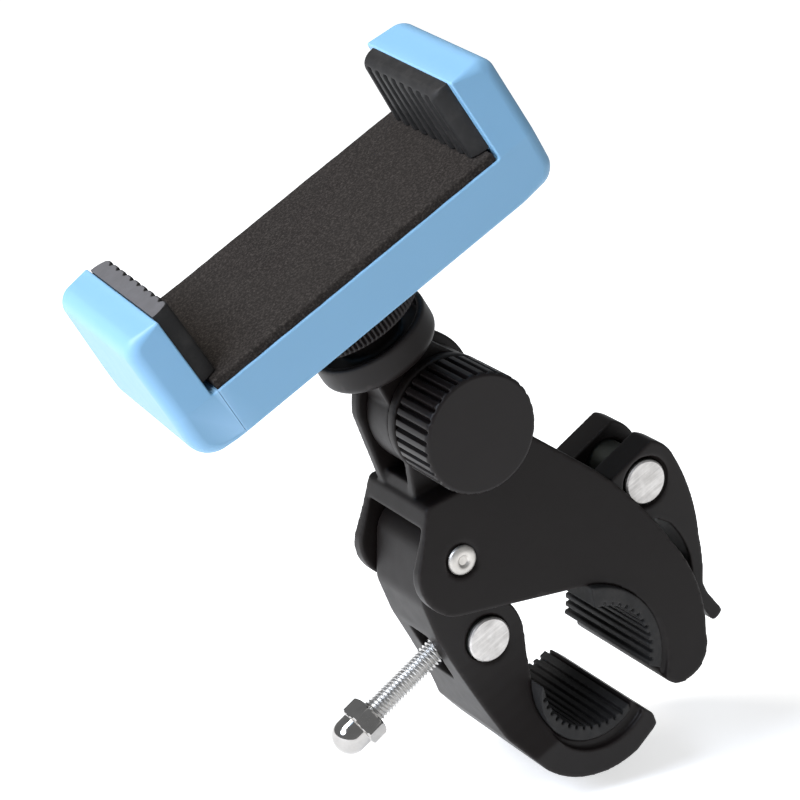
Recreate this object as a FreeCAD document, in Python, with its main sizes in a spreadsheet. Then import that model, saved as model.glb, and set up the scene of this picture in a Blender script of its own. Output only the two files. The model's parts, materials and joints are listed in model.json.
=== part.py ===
import FreeCAD, Part
import math
import os

# Handlebar phone mount, millimetres. +Z is up, +Y runs along the handlebar and
# the origin is the centre of the clamped bar. The jaws, screw and lever lie in
# the XZ plane; the phone holder sits on a tilted, turned head axis.

V = FreeCAD.Vector
doc = FreeCAD.newDocument("phone_mount")
sheet = doc.addObject("Spreadsheet::Sheet", "sheet")

SIZES = [
    # clamp
    ("bar_radius", 12.7, "handlebar the jaws close on"),
    ("pad_width", 31.0, "both rubber pads, along the bar"),
    ("rib_depth", 0.9, "grooves in the rubber pads"),
    ("jaw_blank", 36.0, "jaw blanks before the sides are drafted"),
    ("jaw_half_top", 11.2, "upper jaw half width at its top"),
    ("jaw_draft", 0.12, "side draft of the upper jaw, mm per mm"),
    ("channel_width", 20.0, "slot that takes the lower jaw's neck"),
    ("neck_half", 9.2, "lower jaw half width at the neck"),
    ("jaw_half", 16.6, "jaw half width at the bar"),
    ("screw_slot", 6.8, "slot for the screw through both jaws"),
    ("rivet_radius", 2.5, "pivot rivet shank"),
    ("rivet_hole", 2.55, "pivot rivet holes"),
    ("rivet_head", 3.1, "domed rivet heads"),
    ("pin_radius", 4.7, "barrel nut and lever pin"),
    ("pin_bore", 4.75, "holes for the two cross pins"),
    ("pin_mouth", 5.45, "widened ends of those holes"),
    ("barrel_length", 20.6, "barrel nut"),
    ("lever_width", 20.6, "cam lever and its pin"),
    ("lever_slot", 7.2, "gap between the lever's prongs"),
    ("saddle_width", 21.4, "pocket the cam turns in"),
    ("saddle_radius", 9.0, "pocket the cam turns in"),
    ("screw_radius", 2.5, "M5 screw"),
    ("screw_bore", 2.56, "threaded hole in the lever pin"),
    ("barrel_bore", 2.9, "hole in the barrel nut"),
    ("nut_flats", 8.0, "M5 nuts across flats"),
    ("nut_height", 4.0, "M5 nuts"),
    ("clear_bore", 2.7, "clearance holes for the M5 knob screw"),
    # head
    ("ear_near", 5.9, "outer face of the ear beside the knob"),
    ("ear_far", 7.8, "outer face of the other ear"),
    ("gap_near", 3.6, "inner face of the near ear"),
    ("gap_far", 5.2, "inner face of the far ear"),
    ("hub_play", 0.2, "tongue to each ear"),
    ("hub_radius", 11.8, "tilt head tongue"),
    ("knob_radius", 12.1, "tilt knob over its ribs"),
    ("knob_height", 11.8, "tilt knob"),
    ("knob_thread", 6.5, "depth of the knob's threaded hole"),
    ("washer_radius", 6.0, "washer under the knob"),
    ("washer_height", 0.6, "washer under the knob"),
    ("cup_radius", 12.2, "cup of the tilt head"),
    ("stud_radius", 3.175, "quarter inch stud"),
    ("stud_bore", 3.225, "threads on the stud"),
    ("wheel_radius", 13.8, "lock wheel over its knurls"),
    ("wheel_height", 5.4, "lock wheel"),
    # phone holder
    ("mouth", 67.9, "between the blue arms, closed"),
    ("holder_width", 37.5, "across the phone holder"),
    ("base_height", 10.7, "holder base"),
    ("arm_height", 27.7, "top of the arms"),
    ("lean_near", 2.6, "how far the arms lean in at the top, knob side"),
    ("lean_far", 1.5, "the same on the other side"),
    ("rail_width", 6.4, "rails of the sliding arm"),
    ("rail_low", 2.5, "underside of the rails above the holder's underside"),
    ("rail_high", 8.3, "top of the rails"),
    ("rail_play", 0.3, "channel walls to the rails, all round"),
    ("rail_at", 11.7, "middle of each rail from the holder's middle"),
    ("foam_height", 2.0, "foam sheet"),
    ("foam_width", 35.5, "foam sheet"),
    ("arm_pad_width", 31.0, "rubber pads on the arms"),
    ("arm_pad_depth", 3.6, "rubber pads on the arms"),
]
for row, (alias, value, note) in enumerate(SIZES, start=1):
    sheet.set("A%d" % row, alias.replace("_", " "))
    sheet.set("B%d" % row, str(value))
    sheet.set("C%d" % row, note)
    sheet.setAlias("B%d" % row, alias)
doc.recompute()


def size(alias):
    return float(getattr(sheet, alias))


# ---------------------------------------------------------------- positions
RIVET = (-30.1, 27.9)
BARREL = (-22.1, 8.6)
LEVER = (14.2, 34.7)
KNOB = (-29.5, 55.2)
SCREW_ANGLE = math.degrees(math.atan2(LEVER[1] - BARREL[1], LEVER[0] - BARREL[0]))
TILT = -32.7
TURN = -3.5
HEAD_OFFSET = -2.5
HOLDER_BASE = 33.25
MOUTH_DEPTH = 1.0
RIVET_END = 13.3
NUT_SEAT = 6.6
KNOB_SCREW_END = 9.6
CUP_UNDER = 16.8
CUP_FLOOR = 20.4
STEM_TOP = 27.2

ACROSS = FreeCAD.Rotation(V(1, 0, 0), 90)
ALONG_SCREW = FreeCAD.Rotation(V(0, 1, 0), 90 - SCREW_ANGLE)
TILTED = FreeCAD.Rotation(V(0, 1, 0), TILT)
TURNED = TILTED * FreeCAD.Rotation(V(0, 0, 1), TURN)
KNOB_AT = V(KNOB[0], 0, KNOB[1])
HEAD_AT = KNOB_AT + TILTED.multVec(V(HEAD_OFFSET, 0, 0))
HOLDER_AT = HEAD_AT + TILTED.multVec(V(0, 0, HOLDER_BASE))


# ---------------------------------------------------------------- sketching
def closed(points):
    """Edges of a closed outline. A point is (x, y), with an optional corner
    radius and an optional (x, y) that the edge arriving there passes through."""
    corners = []
    count = len(points)
    for i, point in enumerate(points):
        here = V(point[0], point[1], 0)
        radius = point[2] if len(point) > 2 else 0
        if not radius:
            corners.append((here, None, here))
            continue
        nxt = points[(i + 1) % count]
        back = (V(points[i - 1][0], points[i - 1][1], 0) - here).normalize()
        ahead = (V(nxt[0], nxt[1], 0) - here).normalize()
        half = back.getAngle(ahead) / 2
        reach = radius / math.tan(half)
        bisector = (back + ahead).normalize()
        centre = here + bisector * (radius / math.sin(half))
        corners.append((here + back * reach, centre - bisector * radius, here + ahead * reach))
    edges = []
    for i in range(count):
        start, middle, end = corners[i]
        if middle:
            edges.append(Part.Arc(start, middle, end))
        target = corners[(i + 1) % count][0]
        point = points[(i + 1) % count]
        if len(point) > 3:
            edges.append(Part.Arc(end, V(point[3][0], point[3][1], 0), target))
        elif (target - end).Length > 1e-6:
            edges.append(Part.LineSegment(end, target))
    return edges


def circle(x, y, radius):
    return [Part.Circle(V(x, y, 0), V(0, 0, 1), radius)]


def polar(radius, degrees, x=0, y=0):
    return (x + radius * math.cos(math.radians(degrees)), y + radius * math.sin(math.radians(degrees)))


def body(name):
    made = doc.addObject("PartDesign::Body", name)
    made.Label = name
    return made


def sketch(owner, name, plane, edges, height=0):
    made = owner.newObject("Sketcher::SketchObject", name)
    support = [o for o in owner.Origin.OriginFeatures if o.Role == plane][0]
    made.AttachmentSupport = [(support, "")]
    made.MapMode = "FlatFace"
    made.AttachmentOffset = FreeCAD.Placement(V(0, 0, height), FreeCAD.Rotation())
    made.addGeometry(edges)
    return made


def feature(owner, kind, name, plane, edges, length, height=0, both=True):
    """Pad or Pocket of an outline. length is a number or a sheet expression."""
    made = owner.newObject("PartDesign::" + kind, name)
    made.Profile = sketch(owner, name + "_outline", plane, edges, height)
    made.SideType = "Symmetric" if both else "One side"
    if isinstance(length, str):
        made.setExpression("Length", length)
    else:
        made.Length = length
    doc.recompute()
    return made


def pad(owner, name, plane, edges, length, height=0, both=True):
    return feature(owner, "Pad", name, plane, edges, length, height, both)


def pocket(owner, name, plane, edges, length, height=0, both=True):
    made = feature(owner, "Pocket", name, plane, edges, length, height, both)
    uncut = made.BaseFeature.Shape.Volume - 1e-3
    if made.Shape.Volume > uncut and not both:
        made.Reversed = True
        doc.recompute()
    if made.Shape.Volume > uncut:
        raise RuntimeError(name + " cuts nothing")
    return made


def revolve(owner, name, edges, cut=False):
    kind = "PartDesign::Groove" if cut else "PartDesign::Revolution"
    made = owner.newObject(kind, name)
    profile = sketch(owner, name + "_outline", "XZ_Plane", edges)
    made.Profile = profile
    made.ReferenceAxis = (profile, ["V_Axis"])
    made.Angle = 360
    doc.recompute()
    return made


def put(thing, position, rotation=FreeCAD.Rotation()):
    thing.Placement = FreeCAD.Placement(position, rotation)
    return thing


def ribbed(radius, depth, count):
    """Closed ring of outward bumps."""
    edges = []
    step = 360.0 / count
    for i in range(count):
        start = V(*polar(radius - depth, i * step), 0)
        crest = V(*polar(radius, (i + 0.5) * step), 0)
        end = V(*polar(radius - depth, (i + 1) * step), 0)
        edges.append(Part.Arc(start, crest, end))
    return edges


def hexagon(flats):
    corner = flats / math.sqrt(3)
    return closed([polar(corner, 60 * i) for i in range(6)])


# ---------------------------------------------------------------- upper jaw
RIM = (-2.4, -1.0, 18.1)
RIM_FRONT = polar(RIM[2], -9, RIM[0], RIM[1])
RIM_MIDDLE = polar(RIM[2], 40, RIM[0], RIM[1])
RIM_BACK = polar(RIM[2], 88, RIM[0], RIM[1])
jaw = body("upper_jaw")
TOP_ARC = 13.6
pad(jaw, "jaw_plate", "XZ_Plane", closed([
    (-37.3, 39.4, 1.5),
    (KNOB[0] - 1.0, KNOB[1] - TOP_ARC - 0.1),
    (*polar(TOP_ARC, -15, *KNOB), 0, polar(TOP_ARC, -54, *KNOB)),
    (0.9, 40.3),
    (19.1, 21.9, 0, (11.3, 31.3)),
    (26.6, 1.5, 0, (24.7, 12.7)),
    (20.6, -7.6, 0, (25.4, -4.6)),
    (*RIM_FRONT, 0, (17.2, -7.0)),
    (*RIM_BACK, 0, RIM_MIDDLE),
    (-7.3, 16.9),
    (-31.5, 16.8),
    (-39.8, 26.4, 0, (-37.9, 20.3)),
    (-38.3, 33.0, 4.0),
]), "sheet.jaw_blank")
# drafted sides, narrow at the top
half_top = size("jaw_half_top")
draft = size("jaw_draft")
for side in (-1, 1):
    pocket(jaw, "draft_%s" % ("near" if side < 0 else "far"), "YZ_Plane", closed([
        (side * (half_top + draft * (39.4 - 60)), 60),
        (side * 30, 60),
        (side * 30, -20),
        (side * (half_top + draft * (39.4 + 20)), -20),
    ]), 120)
# clevis on top, joined to the housing: a thin ear each side of a shared root
near, far = size("ear_near"), size("ear_far")
gap_near, gap_far = size("gap_near"), size("gap_far")
EARS = {
    # centre x and z, radius, where the rear edge leaves the circle, inner face, outer face
    "near": (*KNOB, 12.1, 226, gap_near, near),
    "far": (KNOB[0] - 0.6, KNOB[1] + 1.0, 13.0, 192, -gap_far, -far),
}
for name, (x, z, radius, leaves, inner, outer) in EARS.items():
    pad(jaw, name + "_ear", "XZ_Plane", closed([
        (-36.5, 38.0),
        polar(radius, leaves, x, z),
        (*polar(radius, -22, x, z), 0, polar(radius, 85, x, z)),
        (-14.5, 46.0),
        (-20.0, 38.0),
    ]), abs(outer - inner), (inner + outer) / 2)
pad(jaw, "clevis_root", "XZ_Plane", closed([
    (-37.1, 38.0),
    (-36.6, 42.2),
    (-21.0, 44.0),
    (-18.0, 38.0),
]), near + far, (near - far) / 2)
pocket(jaw, "clevis", "XZ_Plane", closed([
    (-50, 42.4),
    (-33.0, 42.4),
    (-32.6, 41.8),
    (*polar(12.9, 0, *KNOB), 0, polar(12.9, -45, *KNOB)),
    (-16.6, 72),
    (-50, 72),
]), gap_near + gap_far, (gap_near - gap_far) / 2)
# a step runs round the jaw's mouth beside the rubber pad
mouth_width = 2 * (size("jaw_half") - 1.5)
for side in (-1, 1):
    pocket(jaw, "rim_step_%s" % ("near" if side < 0 else "far"), "XZ_Plane", closed([
        polar(RIM[2] + 1.1, -22, RIM[0], RIM[1]),
        (*polar(RIM[2] + 1.1, 88, RIM[0], RIM[1]), 0, polar(RIM[2] + 1.1, 40, RIM[0], RIM[1])),
        (-2.0, 0),
    ]), 6, side * (mouth_width / 2 + 3))
pocket(jaw, "neck_channel", "XZ_Plane", closed([
    (-50, 10),
    (-50, 34.9),
    (-22.8, 34.9, 5.0),
    (-10.5, 24.0),
    (-10.5, 10),
]), "sheet.channel_width")
slot_far = polar(6.0, SCREW_ANGLE + 180, *LEVER)
pocket(jaw, "screw_passage", "XZ_Plane", closed([
    polar(4.2, SCREW_ANGLE + 90, *slot_far),
    polar(6.0, SCREW_ANGLE + 90, *polar(32, SCREW_ANGLE + 180, *LEVER)),
    polar(6.0, SCREW_ANGLE - 90, *polar(32, SCREW_ANGLE + 180, *LEVER)),
    polar(4.2, SCREW_ANGLE - 90, *slot_far),
]), "sheet.screw_slot")
pocket(jaw, "cam_saddle", "XZ_Plane", circle(*LEVER, size("saddle_radius")), "sheet.saddle_width")
pocket(jaw, "rivet_holes", "XZ_Plane", circle(*RIVET, size("rivet_hole")), 60)
for side in (-1, 1):
    pocket(jaw, "rivet_recess_%s" % ("near" if side < 0 else "far"), "XZ_Plane",
           circle(*RIVET, size("rivet_head") + 0.5), 4, -side * (12.0 + 2.0))
pocket(jaw, "knob_hole", "XZ_Plane", circle(*KNOB, size("clear_bore")), 30)
hex_corner = size("nut_flats") / math.sqrt(3) + 0.05
pocket(jaw, "nut_pocket", "XZ_Plane", closed([polar(hex_corner, 60 * i, *KNOB) for i in range(6)]),
       size("nut_height"), -(NUT_SEAT + size("nut_height") / 2))

# ---------------------------------------------------------------- rubber pads in the jaws
def jaw_pad(name, outline, first, last):
    made = body(name)
    pad(made, name + "_block", "XZ_Plane", closed(outline), "sheet.pad_width")
    inner = size("bar_radius")
    deep = inner + size("rib_depth")
    pitch = 8.2
    grooves = []
    angle = first
    while angle < last:
        grooves += closed([
            polar(inner - 0.6, angle - 2.2),
            polar(deep, angle - 1.2),
            polar(deep, angle + 1.2),
            polar(inner - 0.6, angle + 2.2),
        ])
        angle += pitch
    pocket(made, name + "_grooves", "XZ_Plane", grooves, 60)
    return made


bar = size("bar_radius")
upper_pad = jaw_pad("upper_jaw_pad", [
    polar(bar, -12),
    (*polar(bar, 94), 0, polar(bar, 41)),
    RIM_BACK,
    (*RIM_FRONT, 0, RIM_MIDDLE),
], -6, 90)

# ---------------------------------------------------------------- lower jaw
lower = body("lower_jaw")
pad(lower, "lower_plate", "XZ_Plane", closed([
    polar(6.6, 180, *RIVET),
    (*polar(6.6, 0, *RIVET), 0, polar(6.6, 90, *RIVET)),
    (-22.6, 19.0),
    polar(8.4, 65, *BARREL),
    (*polar(8.8, -12, *BARREL), 0, polar(8.2, 25, *BARREL)),
    (-12.9, -1.2),
    (8.3, -11.4, 0, (-3.2, -15.6)),
    (8.6, -9.6),
    (13.3, -13.0, 1.2),
    (14.4, -15.6, 1.4),
    (9.6, -20.4),
    (-12.2, -19.5, 0, (-1.1, -23.4)),
    (-19.6, -12.4, 3.0),
    (-33.4, 10.5, 12.0),
    (-36.9, 18.6, 6.0),
]), "sheet.jaw_blank")
# sides flare from the neck to the full width at the bar
neck = size("neck_half")
full = size("jaw_half")
flare_steps = 9
flare_low, flare_high = -20.0, 7.0
for side in (-1, 1):
    profile = [(side * neck, -60.0)]
    for i in range(flare_steps + 1):
        along = flare_low + (flare_high - flare_low) * i / flare_steps
        profile.append((side * (neck + (full - neck) * (i / flare_steps) ** 2), along))
    profile += [(side * full, 40.0), (side * 30, 40.0), (side * 30, -60.0)]
    cut = lower.newObject("PartDesign::Pocket", "flare_%s" % ("near" if side < 0 else "far"))
    edges = closed([(p[0], -p[1]) for p in profile])
    outline = sketch(lower, cut.Name + "_outline", "YZ_Plane", edges)
    outline.AttachmentOffset = FreeCAD.Placement(V(0, 0, 0), FreeCAD.Rotation(V(1, 0, 0), -30))
    cut.Profile = outline
    cut.SideType = "Symmetric"
    cut.Length = 160
    doc.recompute()
# a step runs round the rubber pad
for side in (-1, 1):
    pocket(lower, "cup_step_%s" % ("near" if side < 0 else "far"), "XZ_Plane", closed([
        (-11.0, 2.0),
        (-12.9, -3.6),
        (10.4, -12.4, 0, (-4.4, -16.9)),
        (11.0, -8.0),
    ]), 6, side * (mouth_width / 2 + 3))
pocket(lower, "rivet_hole_low", "XZ_Plane", circle(*RIVET, size("rivet_hole")), 60)
pocket(lower, "barrel_hole", "XZ_Plane", circle(*BARREL, size("pin_bore")), 60)
for side in (-1, 1):
    pocket(lower, "barrel_mouth_%d" % (side + 2), "XZ_Plane", circle(*BARREL, size("pin_mouth")),
           6, side * (size("barrel_length") / 2 - MOUTH_DEPTH + 3))
down = SCREW_ANGLE + 180
pocket(lower, "screw_mouth", "XZ_Plane", closed([
    polar(3.4, down - 90, *BARREL),
    polar(9.0, down - 90, *polar(16, down, *BARREL)),
    polar(7.6, down + 90, *polar(16, down, *BARREL)),
    polar(3.4, down + 90, *BARREL),
]), "sheet.screw_slot")
pocket(lower, "screw_exit", "XZ_Plane", closed([
    polar(3.4, SCREW_ANGLE - 90, *BARREL),
    polar(6.5, SCREW_ANGLE - 90, *polar(16, SCREW_ANGLE, *BARREL)),
    polar(6.5, SCREW_ANGLE + 90, *polar(16, SCREW_ANGLE, *BARREL)),
    polar(3.4, SCREW_ANGLE + 90, *BARREL),
]), "sheet.screw_slot")
lower_pad = jaw_pad("lower_jaw_pad", [
    polar(bar, -164),
    (*polar(bar, -52), 0, polar(bar, -108)),
    (8.3, -11.4),
    (-12.9, -1.2, 0, (-3.2, -15.6)),
], -160, -54)

# ---------------------------------------------------------------- pins, screw and nuts
rivet = body("pivot_rivet")
shank = size("rivet_radius")
head = size("rivet_head")
revolve(rivet, "rivet_profile", closed([
    (0, -RIVET_END),
    (head - 1.1, -RIVET_END),
    (head, -12.0, 0, (head - 0.3, -12.8)),
    (shank, -12.0),
    (shank, 12.0),
    (head, 12.0),
    (head - 1.1, RIVET_END, 0, (head - 0.3, 12.8)),
    (0, RIVET_END),
]))
put(rivet, V(RIVET[0], 0, RIVET[1]), ACROSS)

screw_dir = V(math.cos(math.radians(SCREW_ANGLE)), 0, math.sin(math.radians(SCREW_ANGLE)))


def cross_pin(name, at, length, bore):
    rod = doc.addObject("Part::Cylinder", name + "_rod")
    rod.setExpression("Radius", "sheet.pin_radius")
    rod.setExpression("Height", length)
    doc.recompute()
    rod.Placement = FreeCAD.Placement(at + V(0, rod.Height.Value / 2, 0), ACROSS)
    hole = doc.addObject("Part::Cylinder", name + "_hole")
    hole.setExpression("Radius", bore)
    hole.Height = 20
    hole.Placement = FreeCAD.Placement(at - screw_dir * 10, ALONG_SCREW)
    made = doc.addObject("Part::Cut", name)
    made.Base = rod
    made.Tool = hole
    made.Label = name
    return made


barrel = cross_pin("barrel_nut", V(BARREL[0], 0, BARREL[1]), "sheet.barrel_length", "sheet.barrel_bore")
lever_pin = cross_pin("lever_pin", V(LEVER[0], 0, LEVER[1]), "sheet.lever_width", "sheet.screw_bore")

span = math.hypot(LEVER[0] - BARREL[0], LEVER[1] - BARREL[1])
ACORN = -25.6
screw = doc.addObject("Part::Cylinder", "clamp_screw")
screw.Label = "clamp_screw"
screw.setExpression("Radius", "sheet.screw_radius")
SCREW_TIP = 3.8
screw.Height = span + SCREW_TIP - ACORN + 7.0
put(screw, V(BARREL[0], 0, BARREL[1]) + screw_dir * (ACORN - 7.0), ALONG_SCREW)

acorn = body("acorn_nut")
pad(acorn, "acorn_hex", "XY_Plane", hexagon(size("nut_flats")), 4.0, 0, False)
revolve(acorn, "acorn_dome", closed([
    (0, 0.5),
    (3.75, 0.5),
    (3.75, 6.2),
    (0.8, 9.9, 0, (2.87, 8.82)),
    (0, 9.9),
]))
pocket(acorn, "acorn_thread", "XY_Plane", circle(0, 0, size("screw_bore")), 7.0, 0, False)
put(acorn, V(BARREL[0], 0, BARREL[1]) + screw_dir * ACORN,
    FreeCAD.Rotation(V(0, 1, 0), 270 - SCREW_ANGLE) * FreeCAD.Rotation(V(0, 0, 1), 10))

# ---------------------------------------------------------------- cam lever
lever = body("cam_lever")
CAM = 8.7
cam_points = [
    polar(CAM, 84, *LEVER),
    (20.4, 39.9, 0, (17.9, 42.3)),
    (27.9, 20.6, 0, (25.3, 30.6)),
    (29.4, 9.8, 0, (29.0, 15.2)),
    (30.6, 7.5, 1.5),
    (34.6, 2.8, 0.8),
    (32.4, 0.6, 0.8),
    (27.6, 6.9, 3.0),
    (25.7, 16.4),
    (20.4, 24.7, 0, (23.7, 20.6)),
    polar(CAM, -72, *LEVER),
    (*polar(CAM, 166, *LEVER), 0, polar(CAM, 227, *LEVER)),
]
pad(lever, "lever_plate", "XZ_Plane", closed(cam_points), "sheet.lever_width")
facing = -32.0
pocket(lever, "fork_gap", "XZ_Plane", closed([
    polar(14, facing + 90, *polar(4.4, facing, *LEVER)),
    polar(14, facing - 90, *polar(4.4, facing, *LEVER)),
    polar(14, facing - 90, *polar(-16, facing, *LEVER)),
    polar(14, facing + 90, *polar(-16, facing, *LEVER)),
]), "sheet.lever_slot")
pocket(lever, "lever_bore", "XZ_Plane", circle(*LEVER, size("pin_bore")), 60)
for side in (-1, 1):
    pocket(lever, "lever_mouth_%d" % (side + 2), "XZ_Plane", circle(*LEVER, size("pin_mouth")),
           6, side * (size("lever_width") / 2 - MOUTH_DEPTH + 3))

# ---------------------------------------------------------------- tilt knob
EAR_FACE = size("ear_near")
washer_disc = doc.addObject("Part::Cylinder", "washer_disc")
washer_disc.setExpression("Radius", "sheet.washer_radius")
washer_hole = doc.addObject("Part::Cylinder", "washer_hole")
washer_hole.setExpression("Radius", "sheet.clear_bore")
for disc in (washer_disc, washer_hole):
    disc.setExpression("Height", "sheet.washer_height")
    put(disc, KNOB_AT - V(0, EAR_FACE, 0), ACROSS)
washer = doc.addObject("Part::Cut", "knob_washer")
washer.Base = washer_disc
washer.Tool = washer_hole
washer.Label = "knob_washer"

knob = body("tilt_knob")
pad(knob, "knob_grip", "XY_Plane", ribbed(size("knob_radius"), 0.55, 34), "sheet.knob_height", 0, False)
pocket(knob, "knob_thread", "XY_Plane", circle(0, 0, size("screw_bore")), size("knob_thread"), 0, False)
rim = size("knob_radius")
face = size("knob_height")
revolve(knob, "knob_face_round", closed([
    (rim - 1.0, face + 0.01),
    (rim + 1.0, face + 0.01),
    (rim + 1.0, face - 1.0),
    (rim, face - 0.8),
]), True)
knob_back = EAR_FACE + size("washer_height")
put(knob, KNOB_AT - V(0, knob_back, 0), ACROSS)

knob_screw = doc.addObject("Part::Cylinder", "knob_screw")
knob_screw.Label = "knob_screw"
knob_screw.setExpression("Radius", "sheet.screw_radius")
knob_screw.Height = size("knob_thread") + knob_back + KNOB_SCREW_END
put(knob_screw, KNOB_AT + V(0, KNOB_SCREW_END, 0), ACROSS)

nut = body("clevis_nut")
nut_height = size("nut_height")
pad(nut, "nut_hex", "XY_Plane", hexagon(size("nut_flats")), nut_height, 0, False)
pocket(nut, "nut_thread", "XY_Plane", circle(0, 0, size("screw_bore")), nut_height, 0, False)
put(nut, KNOB_AT + V(0, NUT_SEAT + nut_height, 0), ACROSS)

# ---------------------------------------------------------------- tilt head, local frame at the knob axis
tilt_head = body("tilt_head")
hub = size("hub_radius")
pad(tilt_head, "tongue", "XZ_Plane", closed([
    polar(hub, 132),
    (*polar(hub, 40), 0, polar(hub, -94)),
    (4.0, 17.5),
    (-7.5, 17.5),
]), gap_near + gap_far - 2 * size("hub_play"), (gap_near - gap_far) / 2)
pocket(tilt_head, "tongue_hole", "XZ_Plane", circle(0, 0, size("clear_bore")), 30)
put(tilt_head, KNOB_AT, TILTED)

cup = body("tilt_cup")
cup_radius = size("cup_radius")
revolve(cup, "cup_profile", closed([
    (0, 9.4),
    (7.4, CUP_UNDER),
    (cup_radius - 2.4, CUP_UNDER),
    (cup_radius, 18.6, 0, (cup_radius - 0.6, 17.3)),
    (cup_radius, 23.5, 0.6),
    (cup_radius - 1.4, 23.5, 0.4),
    (cup_radius - 1.7, 20.6, 1.0),
    (6.2, 20.6, 1.0),
    (5.6, STEM_TOP),
    (0, STEM_TOP),
]))
pocket(cup, "stud_socket", "XY_Plane", circle(0, 0, size("stud_bore")),
       STEM_TOP - CUP_FLOOR, STEM_TOP, False)
put(cup, HEAD_AT, TILTED)

stud = doc.addObject("Part::Cylinder", "head_stud")
stud.Label = "head_stud"
stud.setExpression("Radius", "sheet.stud_radius")
STUD_END = HOLDER_BASE + 6.0
stud.Height = STUD_END - CUP_FLOOR
put(stud, HEAD_AT + TILTED.multVec(V(0, 0, CUP_FLOOR)), TILTED)

wheel = body("lock_wheel")
pad(wheel, "wheel_rim", "XY_Plane", ribbed(size("wheel_radius"), 0.35, 90), "sheet.wheel_height", 0, False)
pocket(wheel, "wheel_thread", "XY_Plane", circle(0, 0, size("stud_bore")), 20, 0, True)
put(wheel, HEAD_AT + TILTED.multVec(V(0, 0, HOLDER_BASE - 0.2 - size("wheel_height"))), TILTED)

# ---------------------------------------------------------------- phone holder, local frame on the head axis
half = size("mouth") / 2
wide = size("holder_width")
base = size("base_height")
top = size("arm_height")
SEAM = 1.4
RIGHT = 9.0
LEFT = 8.3
RAIL_LENGTH = 40.0
RAIL_ROOT = 1.0
INSERT_RADIUS = 5.0
INSERT_HEIGHT = 6.5


def arm_taper(owner, name):
    """Sides of an arm lean in towards its top."""
    for side, lean in ((-1, size("lean_near")), (1, size("lean_far"))):
        pocket(owner, "%s_lean_%d" % (name, side + 2), "YZ_Plane", closed([
            (side * wide / 2, base),
            (side * (wide / 2 - lean), top + 1),
            (side * 40, top + 1),
            (side * 40, base),
        ]), 200)


def rail_section(side, play=0.0):
    """Cross section of one rail, or of its channel when there is play all round."""
    y = side * size("rail_at")
    across = size("rail_width") / 2 + play
    low = size("rail_low") - play
    high = size("rail_high") + play
    return closed([(y - across, low), (y + across, low), (y + across, high), (y - across, high)])


frame = body("holder_frame")
pad(frame, "frame_side", "XZ_Plane", closed([
    (SEAM - half, 0),
    (SEAM - half, base),
    (half, base),
    (half, top, 1.0),
    (half + RIGHT + 0.2, top, 3.4),
    (half + RIGHT - 0.2, 0, 3.8),
]), "sheet.holder_width")
arm_taper(frame, "frame")
INSIDE = 2 * 63.0 - 2 * SEAM
for side in (-1, 1):
    pocket(frame, "rail_channel_%d" % (side + 2), "YZ_Plane", rail_section(side, size("rail_play")),
           INSIDE, SEAM - half)
pocket(frame, "insert_hole", "XY_Plane", circle(0, 0, INSERT_RADIUS), 2 * INSERT_HEIGHT, 0)
put(frame, HOLDER_AT, TURNED)

insert = body("holder_insert")
bore = size("stud_bore")
revolve(insert, "insert_profile", closed([
    (bore, 0),
    (INSERT_RADIUS, 0),
    (INSERT_RADIUS, INSERT_HEIGHT),
    (bore, INSERT_HEIGHT),
]))
put(insert, HOLDER_AT, TURNED)

foam = doc.addObject("Part::Box", "foam_pad")
foam.Label = "foam_pad"
foam.setExpression("Length", "sheet.mouth - 2 * sheet.arm_pad_depth - 0.4")
foam.setExpression("Width", "sheet.foam_width")
foam.setExpression("Height", "sheet.foam_height")
foam_corner = V(size("arm_pad_depth") + 0.2 - half, -size("foam_width") / 2, base)
put(foam, HOLDER_AT + TURNED.multVec(foam_corner), TURNED)


def arm_pad(name, face, inward):
    """Rubber pad with upright ribs under a plain lip, on an arm's inner face."""
    made = body(name)
    grip = size("arm_pad_depth")
    lip = 2.4
    foot = base + 0.1
    count = 9
    across = size("arm_pad_width")
    pitch = across / count
    pad(made, name + "_lip", "XY_Plane", closed([
        (face, -across / 2),
        (face, across / 2),
        (face + inward * grip, across / 2, 1.0),
        (face + inward * grip, -across / 2, 1.0),
    ]), top - 0.8 - foot, foot, False)
    grooves = []
    for i in range(count):
        y = across / 2 - (i + 0.5) * pitch
        grooves += closed([
            (face + inward * (grip - 0.9), y - pitch * 0.1),
            (face + inward * (grip + 0.1), y - pitch * 0.22),
            (face + inward * (grip + 0.1), y + pitch * 0.22),
            (face + inward * (grip - 0.9), y + pitch * 0.1),
        ])
    pocket(made, name + "_grooves", "XY_Plane", grooves, top - 0.8 - lip, 0, False)
    return put(made, HOLDER_AT, TURNED)


arm_pad("fixed_arm_pad", half, -1)
arm_pad("sliding_arm_pad", -half, 1)

slider = body("sliding_arm")
pad(slider, "slider_side", "XZ_Plane", closed([
    (SEAM - half - 0.05, 0),
    (-half - LEFT, 0, 5.0),
    (-half - LEFT + 0.1, top, 3.4),
    (-half, top, 1.0),
    (-half, base),
    (SEAM - half - 0.05, base),
]), "sheet.holder_width")
arm_taper(slider, "slider")
for side in (-1, 1):
    pad(slider, "rail_%d" % (side + 2), "YZ_Plane", rail_section(side),
        RAIL_LENGTH, SEAM - half - RAIL_ROOT, False)
put(slider, HOLDER_AT, TURNED)

# extension springs between the rails and posts at the frame's far end
RAIL_END = SEAM - RAIL_ROOT + RAIL_LENGTH
POST = 61.0


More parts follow.
